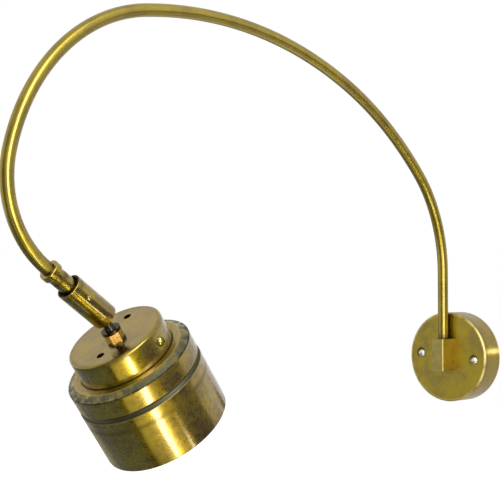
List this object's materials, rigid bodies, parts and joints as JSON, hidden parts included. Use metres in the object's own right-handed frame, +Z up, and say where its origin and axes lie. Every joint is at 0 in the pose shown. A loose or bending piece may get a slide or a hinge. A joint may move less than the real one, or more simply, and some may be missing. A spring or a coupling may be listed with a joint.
{
  "type": "wall lamp",
  "caption": "Swan-neck wall lamp in antique brass: round wall plate, bent tube arm, ball joint and stepped cylindrical head with a disc lamp.",
  "frame": {"origin": "centre of the wall plate's back face, on the wall plane", "axes": "+Z up, -Y out of the wall into the room, +X to the right seen from the room; the arm lies in the plane x = 0"},
  "size_m": [0.0978, 0.5389, 0.348],
  "materials": {
    "antique_brass": "satin, lacquered and patinated",
    "gold_brass": "polished",
    "plain_brass": "machined",
    "blackened_brass": "polished, blackened",
    "zinc_steel": "zinc plated",
    "nickel": "polished",
    "cream_plastic": "moulded",
    "white_plastic": "moulded",
    "opal_plastic": "frosted",
    "black_rubber": "moulded"
  },
  "bodies": {
    "arm": {"wall_strip": "zinc_steel", "earth_screw": "plain_brass", "terminal_block": "cream_plastic", "terminal_inserts": "plain_brass", "terminal_screws": "nickel", "terminal_fixing_screw": "zinc_steel", "wall_plate": "antique_brass", "plate_screws": "nickel", "arm_block": "antique_brass", "locating_pin": "zinc_steel", "nipple": "plain_brass", "nipple_washer": "zinc_steel", "nipple_nut": "plain_brass", "arm_tube": "antique_brass", "arm_collar": "antique_brass", "joint_neck": "antique_brass"},
    "sleeve": {"joint_sleeve": "antique_brass", "set_screw": "gold_brass", "disc_springs": "zinc_steel", "ball_seat": "cream_plastic"},
    "stem": {"ball_stem": "blackened_brass", "stem_nut": "gold_brass", "inner_washer": "zinc_steel", "inner_nut": "zinc_steel"},
    "head": {"head_cap": "antique_brass", "cap_screws": "gold_brass", "head_body": "antique_brass", "barrel_gasket": "black_rubber", "barrel": "antique_brass", "lamp_holder": "cream_plastic", "holder_screws": "zinc_steel", "lamp_housing": "white_plastic", "lamp_pins": "nickel", "lamp_dome": "opal_plastic"}
  },
  "joints": [
    {"name": "sleeve_turn", "type": "hinge", "parent": "arm", "child": "sleeve", "pos_m": [0, -0.49863, 0.07847], "axis": [0, 0.829, -0.5592], "range_deg": [-170, 170]},
    {"name": "head_tilt", "type": "hinge", "parent": "sleeve", "child": "stem", "pos_m": [0, -0.45345, 0.04799], "axis": [1, 0, 0], "range_deg": [-13.3, 52.7]},
    {"name": "head_spin", "type": "hinge", "parent": "stem", "child": "head", "pos_m": [0, -0.45345, 0.04799], "axis": [0, 0.592, -0.8059], "range_deg": [-170, 170]}
  ]
}
